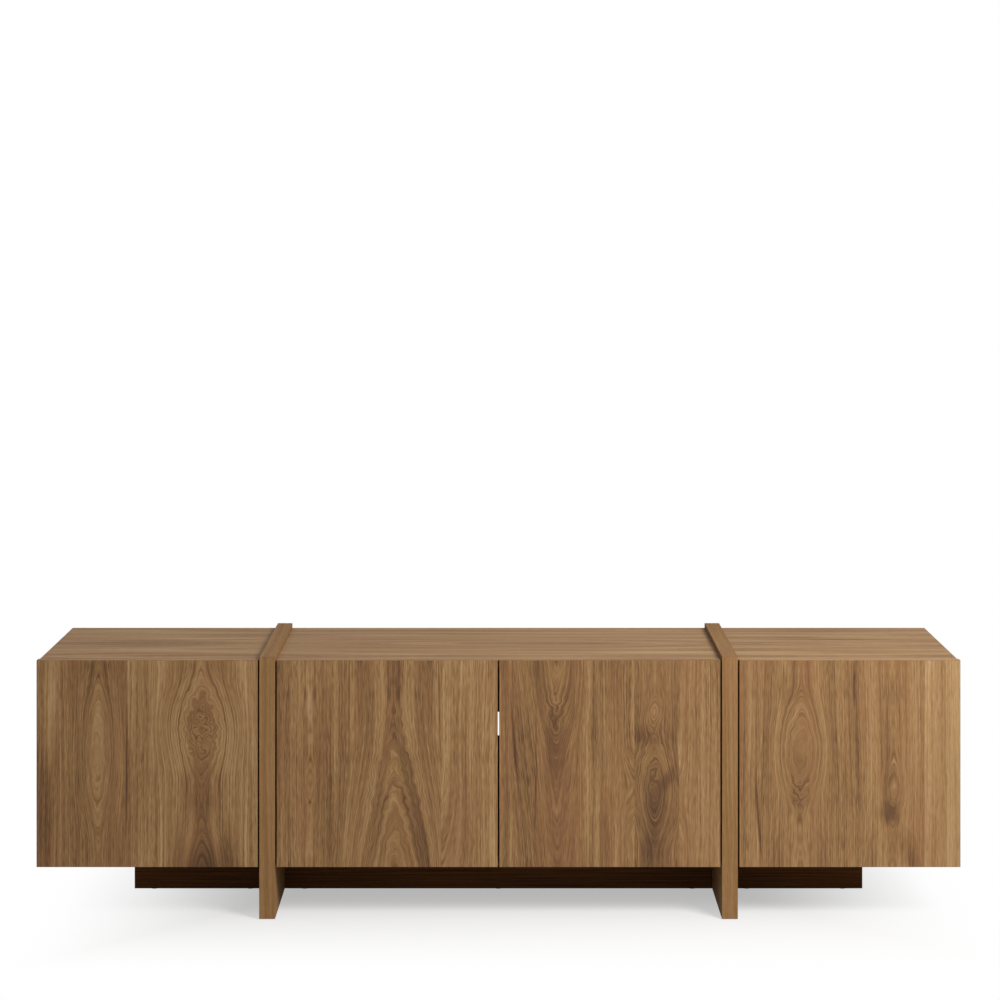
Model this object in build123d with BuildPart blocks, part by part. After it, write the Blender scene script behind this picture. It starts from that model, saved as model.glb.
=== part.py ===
from build123d import *
import os

os.makedirs("parts", exist_ok=True)

# A low stand with three cupboards and four doors, held up by two slabs. Lengths are millimetres. X runs along
# its width, the doors face -Y, Z is up, and the origin is on the floor below the middle of the stand.

# Overall sizes
WIDTH = 1800
DEPTH = 435
FLOOR_GAP = 102
CUPBOARD_HEIGHT = 400
SLAB_RISE = 10
PLINTH_LENGTH = 1483
PLINTH_SETBACK = 237

# Boards
BOARD = 16
DOOR_THICKNESS = 18
SLAB_THICKNESS = 31
BACK_THICKNESS = 4
PLINTH_THICKNESS = 20
EDGE_ROUND = 0.8

# Gaps and fits
GAP = 3
DOOR_STANDOFF = 2
DOOR_RISE = 3
FIT = 0.1
GROOVE_PLAY = 0.3
PIN_PLAY = 0.05

# Back panels and their cable holes
BACK_INSET = 10
GROOVE_DEPTH = 6
CABLE_HOLE_RADIUS = 25

# Cam joints and dowels between the boards of a cupboard
CAM_INSET = 60
CAM_REACH = 24
CAM_RADIUS = 7.5
CAM_DEPTH = 12.5
BOLT_RADIUS = 3
BOLT_THREAD = 10
BOLT_HEAD_RADIUS = 3.8
BOLT_HEAD_LENGTH = 3
BOLT_CHANNEL_RADIUS = 4.2
DOWEL_OFFSET = 32
DOWEL_RADIUS = 4
DOWEL_SHORT = 10
DOWEL_LONG = 20

# Bolts and sleeve nuts that clamp a slab between two cupboards
CONNECTOR_INSET = 75
CONNECTOR_RADIUS = 3
CONNECTOR_REACH = 43
SLEEVE_RADIUS = 4.5
SLEEVE_LENGTH = 40
SLEEVE_BORE = 24
CONNECTOR_HEAD_RADIUS = 8
CONNECTOR_HEAD = 1.5
KEY_RADIUS = 2
KEY_DEPTH = 1

# Loose shelves and their pins
SHELF_SETBACK = 30
SHELF_END_PLAY = 1
SHELF_BACK_PLAY = 3
PIN_ROW_PITCH = 32
PIN_ROWS_BELOW = 2
PIN_ROWS_ABOVE = 3
SHELF_ROW = 1
SHELF_PIN_INSET = 55
SHELF_PIN_RADIUS = 2.5
SHELF_PIN_DEPTH = 9
SHELF_SEAT_LENGTH = 7
SHELF_SEAT_WIDTH = 10
SHELF_SEAT_THICKNESS = 2

# Concealed hinges. Places are (along the door from its hinge edge, back from its front face).
HINGE_INSET = 80
CUP_INSET = 22.5
CUP_RADIUS = 17.5
CUP_DEPTH = 12.5
CUP_WALL = 1.2
CUP_PIN_PLACE = (10.5, 11.5)
CUP_PIN_HALF = 11.3
EAR_INSET = 12
EAR_WIDTH = 22
EAR_LENGTH = 62
EAR_THICKNESS = 1.2
EAR_ROUND = 8
CUP_SCREW_PLACE = 28
CUP_SCREW_HALF_PITCH = 24
CUP_SCREW_RADIUS = 1.75
CUP_SCREW_LENGTH = 13
CUP_SCREW_HEAD_RADIUS = 3.4
CUP_SCREW_HEAD = 1.4
ARM_PIN_PLACE = (36.5, 27)
HINGE_PIN_RADIUS = 1.25
KNUCKLE_RADIUS = 2.7
LINK_WIDTH = 12
LINK_THICKNESS = 1.8
LINK_CRANK_PLACE = (18, 8.9)
LINK_BEND_RADIUS = 4
ARM_PLAY = 0.4
ARM_THICKNESS = 1.5
ARM_NOSE_RADIUS = 3.5
ARM_FOOT_PLACE = 19
ARM_TOP_PLACE = 40
ARM_SHOULDER = 46
ARM_END = 79

# Mounting plates and their screws
PLATE_TOP_PLACE = 30
PLATE_START = 47
PLATE_END = 77
PLATE_HALF_WIDTH = 6.2
PLATE_SCREW_PLACE = 57
WING_THICKNESS = 2.5
WING_LENGTH = 14
WING_HALF_SPAN = 23
PLATE_SCREW_HALF_PITCH = 16
PLATE_SCREW_RADIUS = 2.9
PLATE_SCREW_LENGTH = 10
PLATE_SCREW_HEAD_RADIUS = 4.6
PLATE_SCREW_HEAD = 1.6
ARM_SCREW_RADIUS = 2.4
ARM_SCREW_LENGTH = 17
ARM_SCREW_HEAD_RADIUS = 4
ARM_SCREW_HEAD = 2

# Push-to-open latches
LATCH_INSET = 45
LATCH_SETBACK = 1
LATCH_WIDTH = 16
LATCH_HEIGHT = 16
LATCH_LENGTH = 72
LATCH_WING_WIDTH = 36
LATCH_WING_LENGTH = 34
LATCH_WING_THICKNESS = 3
LATCH_SCREW_HALF_PITCH = 13
PLUNGER_RADIUS = 4
PLUNGER_LENGTH = 66
PLUNGER_PLAY = 0.06
LATCH_END_WALL = 4
STRIKE_RADIUS = 9
STRIKE_THICKNESS = 1.2

# Small wood screws of the latches and the plinth brackets
WOOD_SCREW_RADIUS = 1.75
WOOD_SCREW_LENGTH = 12
WOOD_SCREW_HEAD_RADIUS = 3.6
WOOD_SCREW_HEAD = 1.6

# Plinth brackets and floor glides
BRACKET_LEG = 40
BRACKET_WIDTH = 20
BRACKET_THICKNESS = 2
BRACKET_END_INSET = 40
BRACKET_HOLE_PLACE = 24
GLIDE_RADIUS = 8
GLIDE_THICKNESS = 1
GLIDE_INSET = 40

# Places worked out from the sizes above
FRONT = -DEPTH / 2
BACK = DEPTH / 2
DOOR_BACK = FRONT + DOOR_THICKNESS
CUPBOARD_FRONT = DOOR_BACK + DOOR_STANDOFF
CUPBOARD_BOTTOM = FLOOR_GAP
CUPBOARD_TOP = FLOOR_GAP + CUPBOARD_HEIGHT
SLAB_TOP = CUPBOARD_TOP + SLAB_RISE
MIDDLE_Y = (CUPBOARD_FRONT + BACK) / 2
MIDDLE_Z = CUPBOARD_BOTTOM + CUPBOARD_HEIGHT / 2
DOOR_WIDTH = (WIDTH / 2 - GAP / 2 - SLAB_THICKNESS - 2 * GAP) / 2
DOOR_HEIGHT = CUPBOARD_HEIGHT + DOOR_RISE
SLAB_INNER = GAP / 2 + DOOR_WIDTH + GAP
SLAB_OUTER = SLAB_INNER + SLAB_THICKNESS
INNER_FLOOR = CUPBOARD_BOTTOM + BOARD
INNER_CEILING = CUPBOARD_TOP - BOARD
BACK_REAR = BACK - BACK_INSET
BACK_FRONT = BACK_REAR - BACK_THICKNESS
PLINTH_FRONT = FRONT + PLINTH_SETBACK
PLINTH_REAR = PLINTH_FRONT + PLINTH_THICKNESS
HINGE_HEIGHTS = (CUPBOARD_BOTTOM + HINGE_INSET, CUPBOARD_BOTTOM + DOOR_HEIGHT - HINGE_INSET)
PIN_COLUMNS = (CUPBOARD_FRONT + SHELF_PIN_INSET, BACK_FRONT - SHELF_PIN_INSET)
SHELF_PIN_HEIGHT = MIDDLE_Z + SHELF_ROW * PIN_ROW_PITCH
SHELF_BOTTOM = SHELF_PIN_HEIGHT + SHELF_PIN_RADIUS
ON_BASE = (Align.CENTER, Align.CENTER, Align.MIN)
UP = (0, 0, 1)
DOWN = (0, 0, -1)
FORWARD = (0, -1, 0)
REARWARD = (0, 1, 0)

# The three cupboards, each from its left end to its right end
CUPBOARDS = {
    "left": (-WIDTH / 2, -SLAB_OUTER),
    "centre": (-SLAB_INNER, SLAB_INNER),
    "right": (SLAB_OUTER, WIDTH / 2),
}

# The four doors: hinge edge, direction from it along the door, and how far the inner face of the side
# panel lies from that edge
DOORS = {
    "left": (-WIDTH / 2, 1, BOARD),
    "centre_left": (GAP - SLAB_INNER, 1, BOARD - GAP),
    "centre_right": (SLAB_INNER - GAP, -1, BOARD - GAP),
    "right": (WIDTH / 2, -1, BOARD),
}


def keep(builder, label):
    """Name a finished piece and write it to its own file."""
    builder.part.label = label
    export_step(builder.part, f"parts/{label}.step")


def block(low, high, mode=Mode.ADD):
    """Add a box between two opposite corners to the piece being built, or cut it away."""
    centre = tuple((a + b) / 2 for a, b in zip(low, high))
    size = [b - a for a, b in zip(low, high)]
    with Locations(centre):
        Box(*size, mode=mode)


def rods(starts, towards, radius, length, mode=Mode.ADD):
    """Add a round rod at each start point, running in one direction, or drill it away."""
    with Locations(*[Plane(origin=start, z_dir=towards) for start in starts]):
        Cylinder(radius, length, align=ON_BASE, mode=mode)


def cam_joints(low_x, high_x):
    """The cam joints of a cupboard: local Z runs to the board that holds the cam, X into its cam face."""
    joints = []
    for edge, inward in ((low_x, 1), (high_x, -1)):
        for y in (CUPBOARD_FRONT + CAM_INSET, BACK - CAM_INSET):
            top_point = (edge + inward * BOARD / 2, y, INNER_CEILING)
            joints.append(Plane(origin=top_point, x_dir=(-inward, 0, 0), z_dir=DOWN))
            bottom_point = (edge + inward * BOARD, y, CUPBOARD_BOTTOM + BOARD / 2)
            joints.append(Plane(origin=bottom_point, x_dir=UP, z_dir=(inward, 0, 0)))
    return joints


def dowel_planes(joints):
    """The places of the dowels, each a fixed step from its cam joint towards the middle of the board."""
    planes = []
    for joint in joints:
        step = DOWEL_OFFSET if joint.origin.Y < MIDDLE_Y else -DOWEL_OFFSET
        planes.append(Plane(origin=joint.origin + Vector(0, step, 0), z_dir=joint.z_dir))
    return planes


def joint_holes(low_x, high_x):
    """Drill every cam joint and dowel of a cupboard into the board being built."""
    joints = cam_joints(low_x, high_x)
    with Locations(*joints):
        with Locations((0, 0, -BOLT_THREAD)):
            Cylinder(BOLT_RADIUS + PIN_PLAY, BOLT_THREAD, align=ON_BASE, mode=Mode.SUBTRACT)
        Cylinder(BOLT_CHANNEL_RADIUS, CAM_REACH, align=ON_BASE, mode=Mode.SUBTRACT)
        with Locations(Plane(origin=(-BOARD / 2, 0, CAM_REACH), z_dir=(1, 0, 0))):
            Cylinder(CAM_RADIUS + FIT, CAM_DEPTH, align=ON_BASE, mode=Mode.SUBTRACT)
    with Locations(*dowel_planes(joints)):
        with Locations((0, 0, -DOWEL_SHORT)):
            Cylinder(DOWEL_RADIUS + FIT, DOWEL_SHORT + DOWEL_LONG, align=ON_BASE, mode=Mode.SUBTRACT)


def back_groove(low_x, high_x):
    """Cut the groove that holds a cupboard's back panel into the board being built."""
    reach = BOARD - GROOVE_DEPTH
    low = (low_x + reach, BACK_FRONT - GROOVE_PLAY, CUPBOARD_BOTTOM + reach)
    high = (high_x - reach, BACK_REAR + GROOVE_PLAY, CUPBOARD_TOP - reach)
    block(low, high, mode=Mode.SUBTRACT)


def connector_starts(x):
    """The four places of the bolts that clamp a slab, on the plane at x."""
    ys = (CUPBOARD_FRONT + CONNECTOR_INSET, BACK_FRONT - CONNECTOR_INSET)
    zs = (CUPBOARD_BOTTOM + CONNECTOR_INSET, CUPBOARD_TOP - CONNECTOR_INSET)
    return [(x, y, z) for y in ys for z in zs]


def shelf_pin_starts(x, rows):
    """The places of shelf pins on a side panel's inner face at x, for the given rows."""
    return [(x, y, MIDDLE_Z + row * PIN_ROW_PITCH) for y in PIN_COLUMNS for row in rows]


def hinge_point(door, place, z=0):
    """The point of a door's hinge side at a place (along, back) and a height."""
    edge, run, _ = DOORS[door]
    return (edge + run * place[0], FRONT + place[1], z)


def hinge_pairs(door, place, half_pitch):
    """Points above and below each hinge of a door, at a place (along, back)."""
    return [
        hinge_point(door, place, height + step)
        for height in HINGE_HEIGHTS
        for step in (-half_pitch, half_pitch)
    ]


def latch_place(door):
    """The X position of a door's push latch, near its free edge."""
    edge, run, _ = DOORS[door]
    return edge + run * (DOOR_WIDTH - LATCH_INSET)


LATCH_Z = INNER_CEILING - LATCH_HEIGHT / 2
LATCH_FRONT = CUPBOARD_FRONT + LATCH_SETBACK
LATCH_SCREW_Y = LATCH_FRONT + LATCH_LENGTH - LATCH_WING_LENGTH / 2
LATCH_WING_BOTTOM = INNER_CEILING - LATCH_WING_THICKNESS


def latch_screw_starts(z):
    """The places of the latch screws at height z."""
    return [
        (latch_place(door) + step, LATCH_SCREW_Y, z)
        for door in DOORS
        for step in (-LATCH_SCREW_HALF_PITCH, LATCH_SCREW_HALF_PITCH)
    ]


def bracket_places():
    """The X positions of the plinth brackets, near the ends and in the middle of the plinth."""
    outer = PLINTH_LENGTH / 2 - BRACKET_END_INSET
    near = SLAB_OUTER + BRACKET_END_INSET
    inner = SLAB_INNER - BRACKET_END_INSET
    return (-outer, -near, -inner, 0, inner, near, outer)


# Cupboard tops, which lie over the side panels
for name, (low_x, high_x) in CUPBOARDS.items():
    with BuildPart() as top:
        block((low_x, CUPBOARD_FRONT, INNER_CEILING), (high_x, BACK, CUPBOARD_TOP))
        fillet(top.edges(), EDGE_ROUND)
        back_groove(low_x, high_x)
        joint_holes(low_x, high_x)
        screw_holes = latch_screw_starts(INNER_CEILING)
        rods(screw_holes, UP, WOOD_SCREW_RADIUS + PIN_PLAY, WOOD_SCREW_LENGTH, Mode.SUBTRACT)
    keep(top, f"{name}_top")

# Cupboard bottoms, which lie between the side panels
for name, (low_x, high_x) in CUPBOARDS.items():
    with BuildPart() as bottom:
        block(
            (low_x + BOARD, CUPBOARD_FRONT, CUPBOARD_BOTTOM),
            (high_x - BOARD, BACK, INNER_FLOOR),
        )
        fillet(bottom.edges(), EDGE_ROUND)
        back_groove(low_x, high_x)
        joint_holes(low_x, high_x)
        bracket_screws = [(x, PLINTH_REAR + BRACKET_HOLE_PLACE, CUPBOARD_BOTTOM) for x in bracket_places()]
        rods(bracket_screws, UP, WOOD_SCREW_RADIUS + PIN_PLAY, WOOD_SCREW_LENGTH, Mode.SUBTRACT)
    keep(bottom, f"{name}_bottom")

# Side panels, drilled for hinges, shelf pins, cam joints and the bolts that clamp the slabs
for name, (low_x, high_x) in CUPBOARDS.items():
    for hand, edge, inward in (("left", low_x, 1), ("right", high_x, -1)):
        inner_face = edge + inward * BOARD
        with BuildPart() as side:
            block(
                (min(edge, inner_face), CUPBOARD_FRONT, CUPBOARD_BOTTOM),
                (max(edge, inner_face), BACK, INNER_CEILING),
            )
            fillet(side.edges(), EDGE_ROUND)
            back_groove(low_x, high_x)
            joint_holes(low_x, high_x)
            outward = (-inward, 0, 0)
            for door, (_, _, side_face) in DOORS.items():
                screws = hinge_pairs(door, (side_face, PLATE_SCREW_PLACE), PLATE_SCREW_HALF_PITCH)
                if abs(screws[0][0] - inner_face) < EDGE_ROUND:
                    rods(screws, outward, PLATE_SCREW_RADIUS + PIN_PLAY, PLATE_SCREW_LENGTH, Mode.SUBTRACT)
            if abs(edge) < WIDTH / 2:
                rods(connector_starts(inner_face), outward, SLEEVE_RADIUS + FIT, BOARD, Mode.SUBTRACT)
            if name != "centre":
                pin_rows = range(-PIN_ROWS_BELOW, PIN_ROWS_ABOVE + 1)
                holes = shelf_pin_starts(inner_face, pin_rows)
                rods(holes, outward, SHELF_PIN_RADIUS + PIN_PLAY, SHELF_PIN_DEPTH, Mode.SUBTRACT)
        keep(side, f"{name}_{hand}_side")

# Back panels, held in grooves, each with a round cable hole in its middle
for name, (low_x, high_x) in CUPBOARDS.items():
    tongue = BOARD - GROOVE_DEPTH + GROOVE_PLAY
    with BuildPart() as back:
        block(
            (low_x + tongue, BACK_FRONT, CUPBOARD_BOTTOM + tongue),
            (high_x - tongue, BACK_REAR, CUPBOARD_TOP - tongue),
        )
        cable_hole = ((low_x + high_x) / 2, BACK_FRONT, MIDDLE_Z)
        rods([cable_hole], REARWARD, CABLE_HOLE_RADIUS, BACK_THICKNESS, Mode.SUBTRACT)
    keep(back, f"{name}_back")

# Loose shelves of the outer cupboards, resting on their pins
for name in ("left", "right"):
    low_x, high_x = CUPBOARDS[name]
    with BuildPart() as shelf:
        block(
            (low_x + BOARD + SHELF_END_PLAY, CUPBOARD_FRONT + SHELF_SETBACK, SHELF_BOTTOM),
            (high_x - BOARD - SHELF_END_PLAY, BACK_FRONT - SHELF_BACK_PLAY, SHELF_BOTTOM + BOARD),
        )
        fillet(shelf.edges(), EDGE_ROUND)
    keep(shelf, f"{name}_shelf")

with BuildPart() as shelf_pins:
    for name in ("left", "right"):
        low_x, high_x = CUPBOARDS[name]
        for edge, inward in ((low_x, 1), (high_x, -1)):
            face = edge + inward * BOARD
            stem_end = face - inward * SHELF_PIN_DEPTH
            starts = shelf_pin_starts(stem_end, (SHELF_ROW,))
            rods(starts, (inward, 0, 0), SHELF_PIN_RADIUS, SHELF_PIN_DEPTH + SHELF_SEAT_LENGTH)
            for y in PIN_COLUMNS:
                tip = face + inward * SHELF_SEAT_LENGTH
                block(
                    (min(face, tip), y - SHELF_SEAT_WIDTH / 2, SHELF_BOTTOM - SHELF_SEAT_THICKNESS),
                    (max(face, tip), y + SHELF_SEAT_WIDTH / 2, SHELF_BOTTOM),
                )
keep(shelf_pins, "shelf_pins")

# Support slabs, from the glides on the floor to a little above the cupboard tops
for name, low_x in (("left", -SLAB_OUTER), ("right", SLAB_INNER)):
    with BuildPart() as slab:
        block((low_x, FRONT, GLIDE_THICKNESS), (low_x + SLAB_THICKNESS, BACK, SLAB_TOP))
        fillet(slab.edges(), EDGE_ROUND)
        rods(connector_starts(low_x), (1, 0, 0), SLEEVE_RADIUS + FIT, SLAB_THICKNESS, Mode.SUBTRACT)
    keep(slab, f"support_slab_{name}")

# Plinth boards, set back under the cupboards and interrupted by the slabs
PLINTHS = {
    "left": (-PLINTH_LENGTH / 2, -SLAB_OUTER),
    "centre": (-SLAB_INNER, SLAB_INNER),
    "right": (SLAB_OUTER, PLINTH_LENGTH / 2),
}
BRACKET_SCREW_Z = CUPBOARD_BOTTOM - BRACKET_HOLE_PLACE
for name, (low_x, high_x) in PLINTHS.items():
    with BuildPart() as plinth:
        block((low_x, PLINTH_FRONT, GLIDE_THICKNESS), (high_x, PLINTH_REAR, CUPBOARD_BOTTOM))
        fillet(plinth.edges(), EDGE_ROUND)
        bracket_screws = [(x, PLINTH_REAR, BRACKET_SCREW_Z) for x in bracket_places()]
        rods(bracket_screws, FORWARD, WOOD_SCREW_RADIUS + PIN_PLAY, WOOD_SCREW_LENGTH, Mode.SUBTRACT)
    keep(plinth, f"plinth_{name}")

with BuildPart() as plinth_brackets:
    for x in bracket_places():
        low_x = x - BRACKET_WIDTH / 2
        high_x = x + BRACKET_WIDTH / 2
        block(
            (low_x, PLINTH_REAR, CUPBOARD_BOTTOM - BRACKET_LEG),
            (high_x, PLINTH_REAR + BRACKET_THICKNESS, CUPBOARD_BOTTOM),
        )
        block(
            (low_x, PLINTH_REAR, CUPBOARD_BOTTOM - BRACKET_THICKNESS),
            (high_x, PLINTH_REAR + BRACKET_LEG, CUPBOARD_BOTTOM),
        )
    hole_radius = WOOD_SCREW_RADIUS + FIT
    upright_holes = [(x, PLINTH_REAR, BRACKET_SCREW_Z) for x in bracket_places()]
    rods(upright_holes, REARWARD, hole_radius, BRACKET_THICKNESS, Mode.SUBTRACT)
    flat_holes = [(x, PLINTH_REAR + BRACKET_HOLE_PLACE, CUPBOARD_BOTTOM) for x in bracket_places()]
    rods(flat_holes, DOWN, hole_radius, BRACKET_THICKNESS, Mode.SUBTRACT)
keep(plinth_brackets, "plinth_brackets")

with BuildPart() as floor_glides:
    slab_middle = SLAB_INNER + SLAB_THICKNESS / 2
    slab_spots = [
        (x, y, 0)
        for x in (-slab_middle, slab_middle)
        for y in (FRONT + GLIDE_INSET, 0, BACK - GLIDE_INSET)
    ]
    plinth_middle = (PLINTH_FRONT + PLINTH_REAR) / 2
    plinth_spots = [(x, plinth_middle, 0) for x in bracket_places()]
    rods(slab_spots + plinth_spots, UP, GLIDE_RADIUS, GLIDE_THICKNESS)
keep(floor_glides, "floor_glides")

# Cam locks, cam bolts and dowels of all three cupboards
ALL_JOINTS = [joint for ends in CUPBOARDS.values() for joint in cam_joints(*ends)]

with BuildPart() as cam_locks:
    with Locations(*ALL_JOINTS):
        with Locations(Plane(origin=(-BOARD / 2, 0, CAM_REACH), z_dir=(1, 0, 0))):
            Cylinder(CAM_RADIUS, CAM_DEPTH, align=ON_BASE)
        Cylinder(
            BOLT_CHANNEL_RADIUS,
            CAM_REACH + BOLT_HEAD_LENGTH,
            align=ON_BASE,
            mode=Mode.SUBTRACT,
        )
keep(cam_locks, "cam_locks")

with BuildPart() as cam_bolts:
    with Locations(*ALL_JOINTS):
        with Locations((0, 0, -BOLT_THREAD)):
            Cylinder(BOLT_RADIUS, BOLT_THREAD + CAM_REACH, align=ON_BASE)
        with Locations((0, 0, CAM_REACH - BOLT_HEAD_LENGTH / 2)):
            Cylinder(BOLT_HEAD_RADIUS, BOLT_HEAD_LENGTH, align=ON_BASE)
keep(cam_bolts, "cam_bolts")

with BuildPart() as wood_dowels:
    with Locations(*dowel_planes(ALL_JOINTS)):
        with Locations((0, 0, -DOWEL_SHORT)):
            Cylinder(DOWEL_RADIUS, DOWEL_SHORT + DOWEL_LONG, align=ON_BASE)
keep(wood_dowels, "wood_dowels")

# Connector bolts enter from the middle cupboard and screw into sleeve nuts from the outer ones
with BuildPart() as connector_bolts:
    for direction in (-1, 1):
        starts = connector_starts(direction * (SLAB_INNER - BOARD))
        rods(starts, (direction, 0, 0), CONNECTOR_RADIUS, CONNECTOR_REACH)
        rods(starts, (-direction, 0, 0), CONNECTOR_HEAD_RADIUS, CONNECTOR_HEAD)
        head_faces = connector_starts(direction * (SLAB_INNER - BOARD - CONNECTOR_HEAD))
        rods(head_faces, (direction, 0, 0), KEY_RADIUS, KEY_DEPTH, Mode.SUBTRACT)
keep(connector_bolts, "connector_bolts")

with BuildPart() as connector_sleeves:
    for direction in (-1, 1):
        starts = connector_starts(direction * (SLAB_OUTER + BOARD))
        rods(starts, (-direction, 0, 0), SLEEVE_RADIUS, SLEEVE_LENGTH)
        rods(starts, (direction, 0, 0), CONNECTOR_HEAD_RADIUS, CONNECTOR_HEAD)
        mouths = connector_starts(direction * (SLAB_OUTER + BOARD - SLEEVE_LENGTH))
        rods(mouths, (direction, 0, 0), CONNECTOR_RADIUS + PIN_PLAY, SLEEVE_BORE, Mode.SUBTRACT)
        head_faces = connector_starts(direction * (SLAB_OUTER + BOARD + CONNECTOR_HEAD))
        rods(head_faces, (-direction, 0, 0), KEY_RADIUS, KEY_DEPTH, Mode.SUBTRACT)
keep(connector_sleeves, "connector_sleeves")

# Doors, bored from behind for the hinge cups and their screws
for name, (edge, run, side_face) in DOORS.items():
    free_edge = edge + run * DOOR_WIDTH
    cup_starts = [hinge_point(name, (CUP_INSET, DOOR_THICKNESS), z) for z in HINGE_HEIGHTS]
    screw_starts = hinge_pairs(name, (CUP_SCREW_PLACE, DOOR_THICKNESS), CUP_SCREW_HALF_PITCH)
    with BuildPart() as door:
        block(
            (min(edge, free_edge), FRONT, CUPBOARD_BOTTOM),
            (max(edge, free_edge), DOOR_BACK, CUPBOARD_BOTTOM + DOOR_HEIGHT),
        )
        fillet(door.edges(), EDGE_ROUND)
        rods(cup_starts, FORWARD, CUP_RADIUS + FIT, CUP_DEPTH, Mode.SUBTRACT)
        rods(screw_starts, FORWARD, CUP_SCREW_RADIUS + PIN_PLAY, CUP_SCREW_LENGTH, Mode.SUBTRACT)
    keep(door, f"door_{name}")

    # The hinge cups: a turned bowl in the door, two screw ears on its back, and the cup pin
    with BuildPart() as cups:
        rods(cup_starts, FORWARD, CUP_RADIUS, CUP_DEPTH)
        for z in HINGE_HEIGHTS:
            ear_x, ear_y, _ = hinge_point(name, (EAR_INSET + EAR_WIDTH / 2, DOOR_THICKNESS))
            with BuildSketch(Plane(origin=(ear_x, ear_y, z), x_dir=(1, 0, 0), z_dir=REARWARD)):
                RectangleRounded(EAR_WIDTH, EAR_LENGTH, EAR_ROUND)
            extrude(amount=EAR_THICKNESS)
        mouths = [hinge_point(name, (CUP_INSET, DOOR_THICKNESS + EAR_THICKNESS), z) for z in HINGE_HEIGHTS]
        bowl_depth = CUP_DEPTH + EAR_THICKNESS - CUP_WALL
        rods(mouths, FORWARD, CUP_RADIUS - CUP_WALL, bowl_depth, Mode.SUBTRACT)
        rods(screw_starts, REARWARD, CUP_SCREW_RADIUS + FIT, EAR_THICKNESS, Mode.SUBTRACT)
        pin_starts = [hinge_point(name, CUP_PIN_PLACE, z - CUP_PIN_HALF) for z in HINGE_HEIGHTS]
        rods(pin_starts, UP, HINGE_PIN_RADIUS, 2 * CUP_PIN_HALF)
    keep(cups, f"hinge_cups_{name}")

    with BuildPart() as cup_screws:
        head_place = (CUP_SCREW_PLACE, DOOR_THICKNESS + EAR_THICKNESS)
        heads = hinge_pairs(name, head_place, CUP_SCREW_HALF_PITCH)
        rods(heads, FORWARD, CUP_SCREW_RADIUS, CUP_SCREW_LENGTH)
        rods(heads, REARWARD, CUP_SCREW_HEAD_RADIUS, CUP_SCREW_HEAD)
    keep(cup_screws, f"cup_screws_{name}")

    # The cranked link of each hinge, between the cup pin and the arm pin
    cup_pin = hinge_point(name, CUP_PIN_PLACE)[:2]
    crank = hinge_point(name, LINK_CRANK_PLACE)[:2]
    arm_pin = hinge_point(name, ARM_PIN_PLACE)[:2]
    with BuildPart() as links:
        for z in HINGE_HEIGHTS:
            with BuildSketch(Plane.XY.offset(z - LINK_WIDTH / 2)):
                with BuildLine():
                    FilletPolyline(cup_pin, crank, arm_pin, radius=LINK_BEND_RADIUS)
                trace(line_width=LINK_THICKNESS)
                with Locations(cup_pin, arm_pin):
                    Circle(KNUCKLE_RADIUS)
                with Locations(cup_pin, arm_pin):
                    Circle(HINGE_PIN_RADIUS + PIN_PLAY, mode=Mode.SUBTRACT)
            extrude(amount=LINK_WIDTH)
    keep(links, f"hinge_links_{name}")

    # The strike plate, which the latch plunger rests against
    with BuildPart() as strike:
        rods([(latch_place(name), DOOR_BACK, LATCH_Z)], REARWARD, STRIKE_RADIUS, STRIKE_THICKNESS)
    keep(strike, f"strike_plate_{name}")

    # The latch plunger, flush against the strike plate while the door is shut
    with BuildPart() as plunger:
        tip = (latch_place(name), DOOR_BACK + STRIKE_THICKNESS, LATCH_Z)
        rods([tip], REARWARD, PLUNGER_RADIUS, PLUNGER_LENGTH)
        fillet(plunger.edges().filter_by(GeomType.CIRCLE), EDGE_ROUND)
    keep(plunger, f"latch_plunger_{name}")

# Hinge arms: a channel of two cheeks and a web, with the arm pin riveted through its nose
CHEEK_INNER = LINK_WIDTH / 2 + ARM_PLAY
CHEEK_OUTER = CHEEK_INNER + ARM_THICKNESS
with BuildPart() as hinge_arms:
    for name, (edge, run, side_face) in DOORS.items():
        nose = hinge_point(name, ARM_PIN_PLACE)[:2]
        body_place = ((ARM_FOOT_PLACE + ARM_TOP_PLACE) / 2, (ARM_SHOULDER + ARM_END) / 2)
        body = hinge_point(name, body_place)[:2]
        for z in HINGE_HEIGHTS:
            for cheek_z in (z - CHEEK_OUTER, z + CHEEK_INNER):
                with BuildSketch(Plane.XY.offset(cheek_z)):
                    with Locations(nose):
                        Circle(ARM_NOSE_RADIUS)
                    with Locations(body):
                        Rectangle(ARM_TOP_PLACE - ARM_FOOT_PLACE, ARM_END - ARM_SHOULDER)
                    make_hull()
                extrude(amount=ARM_THICKNESS)
            web_a = hinge_point(name, (ARM_TOP_PLACE - ARM_THICKNESS, ARM_SHOULDER))
            web_b = hinge_point(name, (ARM_TOP_PLACE, ARM_END))
            block(
                (min(web_a[0], web_b[0]), web_a[1], z - CHEEK_OUTER),
                (max(web_a[0], web_b[0]), web_b[1], z + CHEEK_OUTER),
            )
            rods([(nose[0], nose[1], z - CHEEK_OUTER)], UP, HINGE_PIN_RADIUS, 2 * CHEEK_OUTER)
        screw_tops = [hinge_point(name, (ARM_TOP_PLACE, PLATE_SCREW_PLACE), z) for z in HINGE_HEIGHTS]
        rods(screw_tops, (-run, 0, 0), ARM_SCREW_RADIUS + FIT, ARM_THICKNESS, Mode.SUBTRACT)
keep(hinge_arms, "hinge_arms")

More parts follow.
